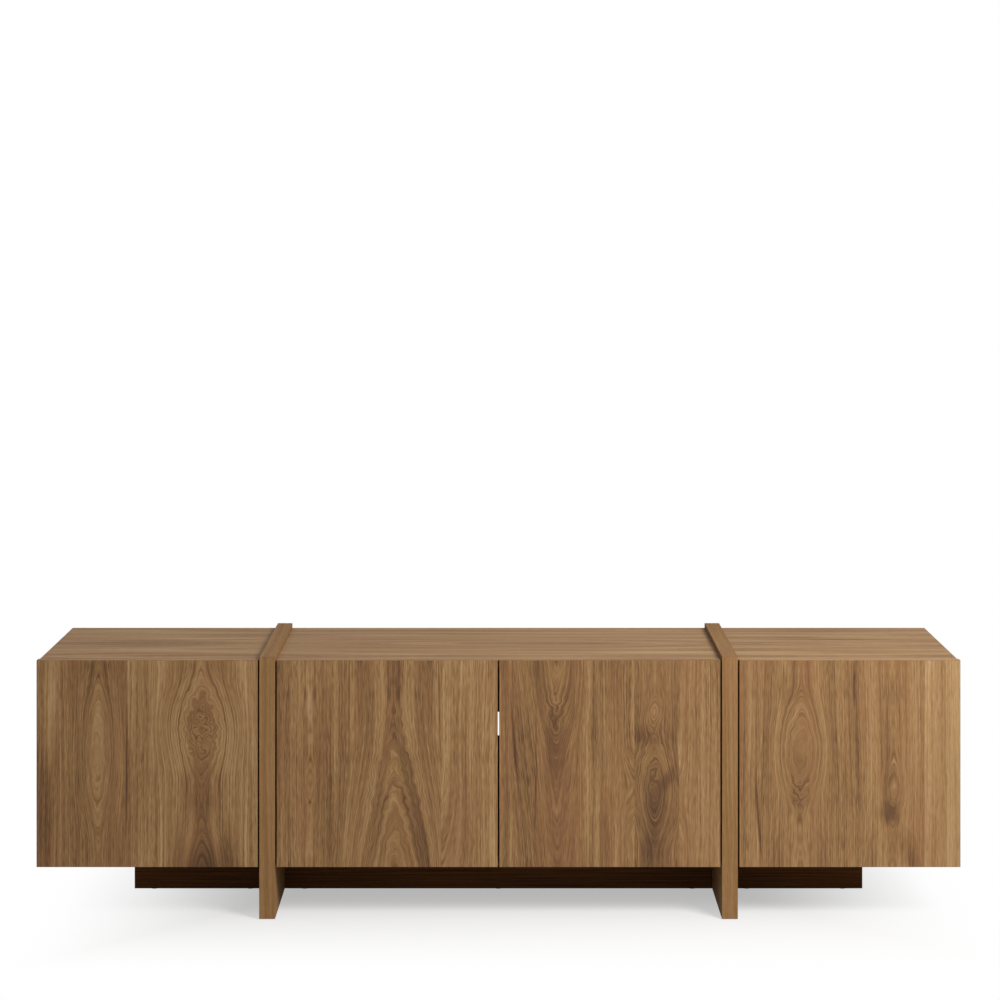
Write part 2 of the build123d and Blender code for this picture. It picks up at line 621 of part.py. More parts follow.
# Mounting plates: a block that the arm straddles, and two wings screwed to the side panel
with BuildPart() as mounting_plates:
    for name, (edge, run, side_face) in DOORS.items():
        for z in HINGE_HEIGHTS:
            spine_a = hinge_point(name, (side_face, PLATE_START))
            spine_b = hinge_point(name, (PLATE_TOP_PLACE, PLATE_END))
            block(
                (min(spine_a[0], spine_b[0]), spine_a[1], z - PLATE_HALF_WIDTH),
                (max(spine_a[0], spine_b[0]), spine_b[1], z + PLATE_HALF_WIDTH),
            )
            wing_a = hinge_point(name, (side_face, PLATE_SCREW_PLACE - WING_LENGTH / 2))
            wing_b = hinge_point(name, (side_face + WING_THICKNESS, PLATE_SCREW_PLACE + WING_LENGTH / 2))
            block(
                (min(wing_a[0], wing_b[0]), wing_a[1], z - WING_HALF_SPAN),
                (max(wing_a[0], wing_b[0]), wing_b[1], z + WING_HALF_SPAN),
            )
        wing_screws = hinge_pairs(name, (side_face, PLATE_SCREW_PLACE), PLATE_SCREW_HALF_PITCH)
        rods(wing_screws, (run, 0, 0), PLATE_SCREW_RADIUS + FIT, WING_THICKNESS, Mode.SUBTRACT)
        screw_tops = [hinge_point(name, (ARM_TOP_PLACE, PLATE_SCREW_PLACE), z) for z in HINGE_HEIGHTS]
        rods(screw_tops, (-run, 0, 0), ARM_SCREW_RADIUS + PIN_PLAY, ARM_SCREW_LENGTH, Mode.SUBTRACT)
keep(mounting_plates, "mounting_plates")

with BuildPart() as plate_screws:
    for name, (edge, run, side_face) in DOORS.items():
        head_place = (side_face + WING_THICKNESS, PLATE_SCREW_PLACE)
        heads = hinge_pairs(name, head_place, PLATE_SCREW_HALF_PITCH)
        rods(heads, (-run, 0, 0), PLATE_SCREW_RADIUS, PLATE_SCREW_LENGTH + WING_THICKNESS)
        rods(heads, (run, 0, 0), PLATE_SCREW_HEAD_RADIUS, PLATE_SCREW_HEAD)
keep(plate_screws, "plate_screws")

with BuildPart() as arm_screws:
    for name, (edge, run, side_face) in DOORS.items():
        tops = [hinge_point(name, (ARM_TOP_PLACE, PLATE_SCREW_PLACE), z) for z in HINGE_HEIGHTS]
        rods(tops, (-run, 0, 0), ARM_SCREW_RADIUS, ARM_SCREW_LENGTH)
        rods(tops, (run, 0, 0), ARM_SCREW_HEAD_RADIUS, ARM_SCREW_HEAD)
keep(arm_screws, "arm_screws")

# Push-to-open latches, screwed under the cupboard tops
with BuildPart() as latch_housings:
    for name in DOORS:
        x = latch_place(name)
        block(
            (x - LATCH_WIDTH / 2, LATCH_FRONT, INNER_CEILING - LATCH_HEIGHT),
            (x + LATCH_WIDTH / 2, LATCH_FRONT + LATCH_LENGTH, INNER_CEILING),
        )
        block(
            (x - LATCH_WING_WIDTH / 2, LATCH_FRONT + LATCH_LENGTH - LATCH_WING_LENGTH, LATCH_WING_BOTTOM),
            (x + LATCH_WING_WIDTH / 2, LATCH_FRONT + LATCH_LENGTH, INNER_CEILING),
        )
        barrel = LATCH_LENGTH - LATCH_END_WALL
        rods([(x, LATCH_FRONT, LATCH_Z)], REARWARD, PLUNGER_RADIUS + PLUNGER_PLAY, barrel, Mode.SUBTRACT)
    screw_holes = latch_screw_starts(LATCH_WING_BOTTOM)
    rods(screw_holes, UP, WOOD_SCREW_RADIUS + FIT, LATCH_WING_THICKNESS, Mode.SUBTRACT)
keep(latch_housings, "latch_housings")

# The small wood screws of the latches and of both legs of the plinth brackets
with BuildPart() as wood_screws:
    latch_heads = latch_screw_starts(LATCH_WING_BOTTOM)
    rods(latch_heads, UP, WOOD_SCREW_RADIUS, LATCH_WING_THICKNESS + WOOD_SCREW_LENGTH)
    flat_head_z = CUPBOARD_BOTTOM - BRACKET_THICKNESS
    flat_heads = [(x, PLINTH_REAR + BRACKET_HOLE_PLACE, flat_head_z) for x in bracket_places()]
    rods(flat_heads, UP, WOOD_SCREW_RADIUS, BRACKET_THICKNESS + WOOD_SCREW_LENGTH)
    rods(latch_heads + flat_heads, DOWN, WOOD_SCREW_HEAD_RADIUS, WOOD_SCREW_HEAD)
    upright_heads = [(x, PLINTH_REAR + BRACKET_THICKNESS, BRACKET_SCREW_Z) for x in bracket_places()]
    rods(upright_heads, FORWARD, WOOD_SCREW_RADIUS, BRACKET_THICKNESS + WOOD_SCREW_LENGTH)
    rods(upright_heads, REARWARD, WOOD_SCREW_HEAD_RADIUS, WOOD_SCREW_HEAD)
keep(wood_screws, "wood_screws")
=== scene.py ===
# %% [markdown]
# # A low walnut stand on two thick slabs
# This low cupboard is 1800 mm wide: four plain doors, two thick slabs that carry it, and a dark board set
# back under it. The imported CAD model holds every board, hinge and screw at its real size and place.
# It is loaded as a fixed frame, so Blender only has to add the finishes, the floor, the light and the camera.

# %% Load the stand
import math

import bpy
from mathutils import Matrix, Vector

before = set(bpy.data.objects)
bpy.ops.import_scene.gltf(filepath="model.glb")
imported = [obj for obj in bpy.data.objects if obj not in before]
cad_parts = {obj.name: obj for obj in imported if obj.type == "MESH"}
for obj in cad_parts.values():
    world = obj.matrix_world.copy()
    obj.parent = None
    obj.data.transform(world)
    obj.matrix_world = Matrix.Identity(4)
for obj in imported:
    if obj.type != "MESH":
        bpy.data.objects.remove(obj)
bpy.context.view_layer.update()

print("boards and fittings:", len(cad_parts))

# %% [markdown]
# ## Three helpers
# Colours are written as they look on a screen, as sRGB hex, but a shader counts light, which is linear.
# One function turns the first into the second. Another adds a node, sets its settings and colour stops and
# fills its inputs, each with a value or with the output of a node that is there already, so that a finish
# reads as a list of steps. The third starts a material.

# %% Colours, nodes and materials
MM = 0.001
WHITE = "#ffffff"


def linear(hex_colour):
    """Turn an sRGB hex colour into the linear colour that a shader takes."""
    parts = [int(hex_colour[i:i + 2], 16) / 255 for i in (1, 3, 5)]
    return [p / 12.92 if p <= 0.04045 else ((p + 0.055) / 1.055) ** 2.4 for p in parts] + [1]


def add(tree, kind, settings=None, stops=(), **inputs):
    """Add a node. An input is named, or numbered as in i0, and takes a value or another node's output."""
    node = tree.nodes.new("ShaderNode" + kind)
    for name, value in (settings or {}).items():
        setattr(node, name, value)
    for name, value in inputs.items():
        key = int(name[1:]) if name[0] == "i" and name[1:].isdigit() else name.replace("_", " ")
        if isinstance(value, bpy.types.NodeSocket):
            tree.links.new(value, node.inputs[key])
        else:
            node.inputs[key].default_value = value
    if stops:
        elements = node.color_ramp.elements
        while len(elements) < len(stops):
            elements.new(0.5)
        for element, (place, colour) in zip(elements, stops):
            element.position = place
            element.color = linear(colour)
    return node


def new_material(name):
    """Make a material with one Principled shader, and return it with its nodes and that shader."""
    material = bpy.data.materials.new(name)
    material.use_nodes = True
    return material, material.node_tree, material.node_tree.nodes["Principled BSDF"]


print("walnut's middle brown in linear light:", [round(v, 3) for v in linear("#83623e")[:3]])

# %% [markdown]
# ## Which way the grain runs
# Veneer is a thin sheet, and its grain runs one way over a whole face. An edge has its own narrow strip of
# veneer, whose grain runs along it. A solid wood texture would show end grain there, which is wrong for a
# veneered board. So the face's own direction picks two coordinates, one across the grain and one along it,
# in mm. They come from the object's own coordinates, so the figure stays on a door when it swings.
#
# Each table gives a board's broad face first, and for each face the axis that its grain runs along. The
# broad face is read where it is. Edges, and the backs of doors, are read 3 m off the figure, where the
# grain is straight and plain. A face counts as facing an axis within about 45 degrees of it, which is a
# cosine of 0.7, and as flat within 10 degrees, a cosine of 0.985.

# %% Coordinates across and along the grain
UPRIGHT_DOOR = {"Y": "Z", "X": "Z", "Z": "X"}
UPRIGHT_SIDE = {"X": "Z", "Y": "Z", "Z": "Y"}
LENGTHWAYS = {"Z": "X", "X": "Y", "Y": "X"}
EDGE_SHIFT = 3000
FACING = 0.7
FLAT_FACE = 0.985


def face_direction(tree):
    """Return how squarely the surface faces X, Y and Z, each from 0 to 1 and without its sign."""
    source = add(tree, "TexCoord")
    turned = add(tree, "VectorMath", {"operation": "ABSOLUTE"}, i0=source.outputs["Normal"])
    return add(tree, "SeparateXYZ", Vector=turned.outputs[0]).outputs


def grain_coordinates(tree, along, plain_back=False):
    """Return the coordinates across and along the grain, in mm."""
    source = add(tree, "TexCoord")
    scaled = add(tree, "VectorMath", {"operation": "SCALE"}, i0=source.outputs["Object"], Scale=1 / MM)
    place = add(tree, "SeparateXYZ", Vector=scaled.outputs[0]).outputs
    across = {face: ({"X", "Y", "Z"} - {face, along[face]}).pop() for face in along}
    broad, *edges = along
    picked = {"across": place[across[broad]], "along": place[along[broad]]}
    if plain_back:
        signed = add(tree, "SeparateXYZ", Vector=source.outputs["Normal"]).outputs
        behind = add(tree, "Math", {"operation": "GREATER_THAN"}, i0=signed[broad], i1=FACING).outputs[0]
        picked["across"] = add(
            tree, "Math", {"operation": "MULTIPLY_ADD"}, i0=behind, i1=EDGE_SHIFT, i2=picked["across"]
        ).outputs[0]
    facing = face_direction(tree)
    for face in edges:
        here = add(tree, "Math", {"operation": "GREATER_THAN"}, i0=facing[face], i1=FACING).outputs[0]
        shifted = add(tree, "Math", {"operation": "ADD"}, i0=place[across[face]], i1=EDGE_SHIFT).outputs[0]
        for name, value in (("across", shifted), ("along", place[along[face]])):
            picked[name] = add(tree, "Mix", i0=here, i2=picked[name], i3=value).outputs[0]
    return picked["across"], picked["along"]


def rounded_edge(tree):
    """Return 1 on a rounded edge, which faces no axis squarely, and 0 on a flat face."""
    facing = face_direction(tree)
    steepest = add(tree, "Math", {"operation": "MAXIMUM"}, i0=facing["X"], i1=facing["Y"]).outputs[0]
    steepest = add(tree, "Math", {"operation": "MAXIMUM"}, i0=steepest, i1=facing["Z"]).outputs[0]
    return add(tree, "Math", {"operation": "LESS_THAN"}, i0=steepest, i1=FLAT_FACE).outputs[0]


print("grain on a door front runs along", UPRIGHT_DOOR["Y"], "and on a top along", LENGTHWAYS["Z"])

# %% [markdown]
# ## Walnut veneer, crown cut
# A log is a stack of cones, its growth rings. A flat slice through it shows them as long nested arches,
# the crown, with straight lines at both sides. A leaf of veneer is one such slice, 30 to 250 mm wide, and a
# door has two to five leaves side by side. The distance from the leaf's crown line says which ring a point
# lies in. Where a branch or a dip pushes the rings outwards, they part and close again like a spindle: that
# is an eye, and a smooth hill taken from the distance draws it, with a pointed tip at each end.
# Noise read along that one number makes bands that follow the rings, and noise read on it and on the
# length makes streaks that flow round the eyes. That is why one field drives the colour, the fibres and the
# bump, and why no band ever crosses a fibre. Plain noise stretched along the board is quicker to make, but
# it has no crown and no eyes, and walnut is known by those.

# %% Two shapes that all the figure is made from
NOISE_LOW, NOISE_HIGH = 0.3, 0.7  # nearly all of a noise lies between these


def hill(tree, plane, centre, width, length, height, turn=0):
    """Return a smooth hill: its height at the centre, and nothing past its half width and half length."""
    place = add(
        tree, "Mapping", {"vector_type": "TEXTURE"}, Vector=plane,
        Location=(*centre, 0), Rotation=(0, 0, math.radians(turn)), Scale=(width, length, 1),
    )
    distance = add(tree, "VectorMath", {"operation": "LENGTH"}, i0=place.outputs[0]).outputs["Value"]
    return add(
        tree, "MapRange", {"interpolation_type": "SMOOTHERSTEP"}, Value=distance,
        From_Min=0, From_Max=1, To_Min=height, To_Max=0,
    ).outputs[0]


def streaks(tree, plane, width, length, detail, start=0):
    """Return noise that changes once in a width across the grain and once in a length along it, in mm."""
    place = add(
        tree, "Mapping", {"vector_type": "TEXTURE"}, Vector=plane,
        Location=(start, 0, 0), Scale=(width, length, 1),
    )
    noise = add(
        tree, "TexNoise", {"noise_dimensions": "2D"}, Vector=place.outputs[0], Scale=1, Detail=detail)
    return noise.outputs[0]


print("a noise lies mostly between", NOISE_LOW, "and", NOISE_HIGH)

# %% [markdown]
# The field of rings comes first. Slow noise sways the grain and a quicker one ripples it. Each leaf starts
# at its own place across the board and has its own crown line, shade and taper, so these step at every
# joint. The taper is how much nearer to the middle of the log the slice comes with each mm of length: it
# turns straight lines into pointed arches, whose tips are rounded by 7 mm. Inside a knot the rings are
# ruffled into curls, by a small round noise that a hill fades out.
# Rings lie further apart in the middle of a crown than at its sides, because the slice meets them there at
# a low angle. The length of the slant from the crown's depth gives just that.

# %% The rings of a board, with sizes in mm
LEAF_SHIFT = 1370
SWAY_WIDTH, SWAY_LENGTH, SWAY = 60, 420, 14
RIPPLE_WIDTH, RIPPLE_LENGTH, RIPPLE = 14, 70, 1.6
CROWN_ROUND = 7
CROWN_DEPTH = 24
CURL_SIZE = 20
NOISE_MIDDLE = 0.5


def ring_field(tree, across, along, leaves, eyes, curls, seed):
    """Return the swayed plane, the distance from the crown line, the ring's place and the leaf's shade."""
    flat = add(tree, "CombineXYZ", X=across, Y=along).outputs[0]
    start = -seed * LEAF_SHIFT
    swayed = across
    for width, length, reach in ((SWAY_WIDTH, SWAY_LENGTH, SWAY), (RIPPLE_WIDTH, RIPPLE_LENGTH, RIPPLE)):
        wave = streaks(tree, flat, width, length, 1, start)
        moved = add(tree, "Math", {"operation": "MULTIPLY_ADD"}, i0=wave, i1=reach, i2=swayed).outputs[0]
        swayed = add(tree, "Math", {"operation": "SUBTRACT"}, i0=moved, i1=reach / 2).outputs[0]
    plane = add(tree, "CombineXYZ", X=swayed, Y=along).outputs[0]
    crown, shade, taper, shift = *leaves[0][1:], seed * LEAF_SHIFT
    for before, leaf in zip(leaves, leaves[1:]):
        past = add(tree, "Math", {"operation": "GREATER_THAN"}, i0=across, i1=leaf[0]).outputs[0]
        steps = [after - value for value, after in zip(before[1:], leaf[1:])] + [LEAF_SHIFT]
        crown, shade, taper, shift = [
            add(tree, "Math", {"operation": "MULTIPLY_ADD"}, i0=past, i1=step, i2=value).outputs[0]
            for step, value in zip(steps, (crown, shade, taper, shift))
        ]
    aside = add(tree, "Math", {"operation": "SUBTRACT"}, i0=swayed, i1=crown).outputs[0]
    aside = add(tree, "CombineXYZ", X=aside, Y=CROWN_ROUND).outputs[0]
    field = add(tree, "VectorMath", {"operation": "LENGTH"}, i0=aside).outputs["Value"]
    field = add(tree, "Math", {"operation": "MULTIPLY_ADD"}, i0=along, i1=taper, i2=field).outputs[0]
    for eye in eyes:
        field = add(tree, "Math", {"operation": "SUBTRACT"}, i0=field, i1=hill(tree, plane, *eye)).outputs[0]
    for curl in curls:
        swirl = streaks(tree, flat, CURL_SIZE, CURL_SIZE, 1, start)
        swirl = add(tree, "Math", {"operation": "SUBTRACT"}, i0=swirl, i1=NOISE_MIDDLE).outputs[0]
        reach = hill(tree, plane, *curl)
        field = add(tree, "Math", {"operation": "MULTIPLY_ADD"}, i0=swirl, i1=reach, i2=field).outputs[0]
    slant = add(tree, "CombineXYZ", X=field, Y=CROWN_DEPTH).outputs[0]
    ring = add(tree, "VectorMath", {"operation": "LENGTH"}, i0=slant).outputs["Value"]
    ring = add(tree, "Math", {"operation": "ADD"}, i0=ring, i1=shift).outputs[0]
    return plane, field, ring, shade


print("each leaf starts", LEAF_SHIFT, "mm further into the noise, so no two leaves match")

# %% [markdown]
# Next come the fine streaks, all read on the field: long lines, fibres, short flecks and pores. Flecks are
# cut fibres, so they don't join up: the field is cut into strips, and each strip's flecks jump along it by
# a length of their own. Walnut has rings 4 to 12 mm apart in a crown. Its pores are 0.2 mm wide, too fine
# for a picture in which a pixel is 2 mm, so pores, flecks and fibres are drawn 2 mm wide and 17 to 230 mm
# long, which is how coarse they must be to show.
# Some rings are traced by a dark line, where the wood grew densely. It follows one distance from the crown,
# or comes back with a period, and a hill says how far it reaches.

# %% Streaks and outlined rings, with sizes in mm
LINE_WIDTH, LINE_LENGTH, LINE_SHARE = 3.4, 700, 0.26
FIBRE_WIDTH, FIBRE_LENGTH, FIBRE_SHARE = 2.1, 230, 0.34
FLECK_WIDTH, FLECK_LENGTH, FLECK_SHARE = 1.9, 17, 0.26
PORE_WIDTH, PORE_LENGTH, PORE_SHARE = 2, 42, -0.1
PORE_LOW, PORE_HIGH = 0.58, 0.74
STREAK_MIDDLE = (LINE_SHARE + FIBRE_SHARE + FLECK_SHARE) / 2
FAR_APART = 4000  # a period longer than any board, so the line comes only once


def fine_streaks(tree, field, along, start):
    """Return the streaks' tone about 0, and the fibres and pores in it."""
    flow = add(tree, "CombineXYZ", X=field, Y=along).outputs[0]
    lines = streaks(tree, flow, LINE_WIDTH, LINE_LENGTH, 1, start)
    fibres = streaks(tree, flow, FIBRE_WIDTH, FIBRE_LENGTH, 1, start)
    strip = add(tree, "Math", {"operation": "DIVIDE"}, i0=field, i1=FLECK_WIDTH).outputs[0]
    strip = add(tree, "Math", {"operation": "FLOOR"}, i0=strip).outputs[0]
    jump = add(tree, "TexWhiteNoise", {"noise_dimensions": "1D"}, W=strip).outputs["Value"]
    jump = add(tree, "Math", {"operation": "MULTIPLY_ADD"}, i0=jump, i1=LEAF_SHIFT, i2=along).outputs[0]
    strips = add(tree, "CombineXYZ", X=field, Y=jump).outputs[0]
    flecks = streaks(tree, strips, FLECK_WIDTH, FLECK_LENGTH, 0, start)
    dots = streaks(tree, flow, PORE_WIDTH, PORE_LENGTH, 0, start)
    pores = add(tree, "MapRange", Value=dots, From_Min=PORE_LOW, From_Max=PORE_HIGH).outputs[0]
    shares = ((lines, LINE_SHARE), (fibres, FIBRE_SHARE), (flecks, FLECK_SHARE), (pores, PORE_SHARE))
    tone = -STREAK_MIDDLE
    for part, share in shares:
        tone = add(tree, "Math", {"operation": "MULTIPLY_ADD"}, i0=part, i1=share, i2=tone).outputs[0]
    return tone, fibres, pores


def outline(tree, plane, field, centre, width, length, distance, half, depth, period=FAR_APART):
    """Return a line along the ring at a distance from the crown, as dark as its depth and within a hill."""
    away = add(tree, "Math", {"operation": "SUBTRACT"}, i0=field, i1=distance).outputs[0]
    away = add(tree, "Math", {"operation": "PINGPONG"}, i0=away, i1=period / 2).outputs[0]
    line = add(tree, "MapRange", Value=away, From_Min=0, From_Max=half, To_Min=1, To_Max=0).outputs[0]
    reach = hill(tree, plane, centre, width, length, depth)
    return add(tree, "Math", {"operation": "MULTIPLY"}, i0=line, i1=reach).outputs[0]


print("a fibre is drawn", FIBRE_WIDTH, "by", FIBRE_LENGTH, "mm and a fleck", FLECK_WIDTH, "by", FLECK_LENGTH)

# %% [markdown]
# Then all of it becomes one tone. Bands along the rings, slow clouds and the streaks are added up, and
# outlines and stains, such as the dark heart of a knot, are taken from the sum. Calms are places where the
# streaks fade, as they do between the rings of an eye.

# %% The tone of the wood, with sizes in mm
RING_WIDTH, BAND_SHARE = 10, 0.36
CLOUD_WIDTH, CLOUD_LENGTH, CLOUD_SHARE = 34, 420, 0.42
MIDDLE_TONE = 0.5


def wood_tone(tree, across, along, leaves, seed, eyes=(), curls=(), stains=(), outlines=(), calms=(),
              contrast=1.0, fine=None):
    """Return the tone, with the swayed plane, the fibres and the pores that it came from.

    seed starts the board at its own place in the noise. contrast scales the bands and clouds, and the
    streaks too, unless fine gives these their own number.
    """
    start = seed * LEAF_SHIFT
    plane, field, ring, tone = ring_field(tree, across, along, leaves, eyes, curls, seed)
    streak_tone, fibres, pores = fine_streaks(tree, field, along, start)
    strength = contrast if fine is None else fine
    for calm in calms:
        quiet = hill(tree, plane, *calm)
        strength = add(tree, "Math", {"operation": "SUBTRACT"}, i0=strength, i1=quiet).outputs[0]
    flow = add(tree, "CombineXYZ", X=field, Y=along).outputs[0]
    clouds = streaks(tree, flow, CLOUD_WIDTH, CLOUD_LENGTH, 1, start)
    bands = add(
        tree, "TexNoise", {"noise_dimensions": "1D"}, W=ring, Scale=1 / RING_WIDTH, Detail=2).outputs[0]
    shares = ((streak_tone, strength), (bands, contrast * BAND_SHARE), (clouds, contrast * CLOUD_SHARE))
    for part, share in shares:
        tone = add(tree, "Math", {"operation": "MULTIPLY_ADD"}, i0=part, i1=share, i2=tone).outputs[0]
    marks = [hill(tree, plane, *stain) for stain in stains]
    marks += [outline(tree, plane, field, *ring_line) for ring_line in outlines]
    for mark in marks:
        tone = add(tree, "Math", {"operation": "SUBTRACT"}, i0=tone, i1=mark).outputs[0]
    lift = MIDDLE_TONE - contrast * (BAND_SHARE + CLOUD_SHARE) / 2
    tone = add(tree, "Math", {"operation": "ADD"}, i0=tone, i1=lift).outputs[0]
    return tone, plane, fibres, pores


print("bands are about", RING_WIDTH, "mm wide and clouds", CLOUD_WIDTH, "by", CLOUD_LENGTH, "mm")

# %% [markdown]
# ## The lacquered finish
# A ramp of five browns turns the tone into colour, and a slow drift to a redder brown keeps a wide board
# from looking dyed. On the rounded edges the brown goes deeper.
# The lacquer is matt: IOR 1.5, with a roughness of 0.6 to 0.72 that goes up and down with the fibres, which
# gives a soft sheen and no mirror image. Its specular level is 0.14, well under the usual 0.5, because the
# pores swallow part of the gloss. The bump raises fibres and sinks pores by up to 0.12 mm, so a light from
# the side still finds them. A clear coat over the wood would show a second, sharp gloss, which matt lacquer
# doesn't have.

# %% Make a walnut veneer
WALNUT = [(0.0, "#402d20"), (0.28, "#60452d"), (0.5, "#83623e"), (0.72, "#9c7d56"), (1.0, "#b99b76")]
WALNUT_RED = "#80573a"
WALNUT_EDGE = "#5f4128"
DRIFT_WIDTH, DRIFT_LENGTH = 60, 420
DRIFT_LOW, DRIFT_HIGH, RED_SHARE = 0.4, 0.75, 0.35
EDGE_SHARE = 0.5
LACQUER_IOR = 1.5
LACQUER_GLOSS = 0.14
LACQUER_ROUGH = (0.6, 0.72)
PORE_DEPTH = 0.12 * MM
BUMP_STRENGTH = 0.5


def walnut(name, grain, leaves, seed, gloss=LACQUER_GLOSS, plain_back=False, **figure):
    """Make a walnut veneer. gloss is its specular level, and plain_back keeps the figure off the back."""
    material, tree, shader = new_material(name)
    across, along = grain_coordinates(tree, grain, plain_back)
    tone, plane, fibres, pores = wood_tone(tree, across, along, leaves, seed, **figure)
    colour = add(tree, "ValToRGB", stops=WALNUT, Fac=tone).outputs["Color"]
    drift = streaks(tree, plane, DRIFT_WIDTH, DRIFT_LENGTH, 1, seed * LEAF_SHIFT)
    redder = add(tree, "MapRange", Value=drift, From_Min=DRIFT_LOW, From_Max=DRIFT_HIGH, To_Max=RED_SHARE)
    deeper = add(tree, "Math", {"operation": "MULTIPLY"}, i0=rounded_edge(tree), i1=EDGE_SHARE)
    for share, brown in ((redder, WALNUT_RED), (deeper, WALNUT_EDGE)):
        colour = add(
            tree, "Mix", {"data_type": "RGBA"}, i0=share.outputs[0], i6=colour, i7=linear(brown)).outputs[2]
    tree.links.new(colour, shader.inputs["Base Color"])
    rough = add(
        tree, "MapRange", Value=fibres, From_Min=NOISE_LOW, From_Max=NOISE_HIGH,
        To_Min=LACQUER_ROUGH[0], To_Max=LACQUER_ROUGH[1],
    )
    tree.links.new(rough.outputs[0], shader.inputs["Roughness"])
    height = add(tree, "Math", {"operation": "SUBTRACT"}, i0=fibres, i1=pores).outputs[0]
    bump = add(tree, "Bump", Strength=BUMP_STRENGTH, Distance=PORE_DEPTH, Height=height)
    tree.links.new(bump.outputs[0], shader.inputs["Normal"])
    shader.inputs["IOR"].default_value = LACQUER_IOR
    shader.inputs["Specular IOR Level"].default_value = gloss
    return material


print("lacquer IOR", LACQUER_IOR, "- pores", PORE_DEPTH / MM, "mm deep")

# %% [markdown]
# ## Four doors, four layouts
# Each door front is laid up from its own leaves, so no two doors look alike. Noise alone would give four
# random figures, but a maker picks the leaves for their landmarks, so here these are given one by one, in mm
# from the middle of the stand and up from the floor.
#
# - A leaf is its start, its crown line, its shade and its taper.
# - Eyes, curls, calms and stains are hills: centre, half width, half length, height, and a turn in degrees.
#   A stain of negative height is a pale place.
# - An outline is a hill's centre, half width and half length, then the line's distance from the crown,
#   its half width, its darkness, and the period with which it comes back.
#
# The left door has two leaves and a dark joint line between them. The first has a long loop, and the
# second a large squiggly eye over a dark flame.

# %% Veneer of the left door
door_veneers = {}
door_veneers["door_left"] = walnut(
    "walnut_veneer_door_left", UPRIGHT_DOOR, seed=0, plain_back=True,
    leaves=[(-900, -780, 0.01, 0), (-723, -577, 0.08, 0)],
    eyes=[
        ((-780, 325), 72, 215, 34), ((-577, 200), 90, 420, 26), ((-582, 374), 120, 130, 44),
        ((-574, 50), 90, 170, 36),
    ],
    curls=[((-580, 376), 66, 122, 70), ((-780, 320), 66, 230, 9)],
    outlines=[
        ((-577, 300), 90, 300, 12, 2.4, 0.3), ((-577, 330), 90, 260, 17, 2.4, -0.14),
        ((-580, 376), 70, 118, 0, 2.4, 0.28, 12), ((-572, 70), 92, 180, 0, 2.6, 0.24, 10),
        ((-780, 300), 50, 240, 2, 2.4, 0.2), ((-780, 300), 46, 220, -9, 2.6, -0.14),
        ((-780, 300), 40, 200, -15, 2, 0.14),
    ],
    calms=[((-580, 374), 58, 115, 0.5), ((-574, 100), 48, 110, 0.5), ((-780, 340), 30, 150, 0.4)],
    stains=[
        ((-886, 180), 34, 220, 0.18), ((-568, 15), 108, 245, 0.52), ((-876, 420), 34, 150, -0.14),
        ((-723, 290), 4, 190, 0.42), ((-580, 374), 70, 120, 0.1), ((-822, 280), 10, 260, 0.14),
        ((-780, 335), 17, 165, -0.2), ((-578, 245), 60, 120, 0.3),
    ],
)
print("made", door_veneers["door_left"].name)

# %% [markdown]
# The centre-left door has tall jagged arches in its wide middle leaf, drawn by soft wide outlines, and a
# tiny knot in the narrow leaf at its left edge.

# %% Veneer of the centre-left door
door_veneers["door_centre_left"] = walnut(
    "walnut_veneer_door_centre_left", UPRIGHT_DOOR, seed=1, plain_back=True,
    leaves=[(-433, -368, -0.01, 0), (-350, -203, 0, 0), (-112, 60, 0.09, 0)],
    eyes=[((-198, -60), 175, 520, 90), ((-368, 272), 22, 60, 5)],
    curls=[((-205, 230), 110, 280, 15)],
    outlines=[
        ((-200, 300), 100, 260, 2, 4, 0.1), ((-200, 270), 100, 240, -7, 3, -0.12),
        ((-200, 240), 90, 220, -16, 4, 0.09), ((-200, 200), 90, 200, -27, 4.5, -0.17),
        ((-200, 160), 80, 180, -38, 5, 0.09), ((-200, 130), 70, 150, -49, 3.5, -0.12),
        ((-200, 90), 60, 140, -66, 9, 0.2), ((-140, 240), 70, 420, 14, 12, 0.14),
    ],
    calms=[((-200, 200), 60, 220, 0.45)],
    stains=[
        ((-196, 480), 34, 100, 0.16), ((-368, 229), 5, 7, 0.3), ((-352, 260), 4, 200, 0.16),
        ((-372, 430), 9, 110, -0.16, 6), ((-368, 150), 8, 90, -0.14, -4), ((-150, 120), 30, 170, 0.12, 9),
        ((-208, 280), 30, 100, -0.1),
    ],
    contrast=0.8, fine=1.08,
)
print("made", door_veneers["door_centre_left"].name)

# %% [markdown]
# The centre-right door has five narrow leaves. Loops hang from the top edge in the second, and the fourth
# has a small tilted eye over a folded knot.

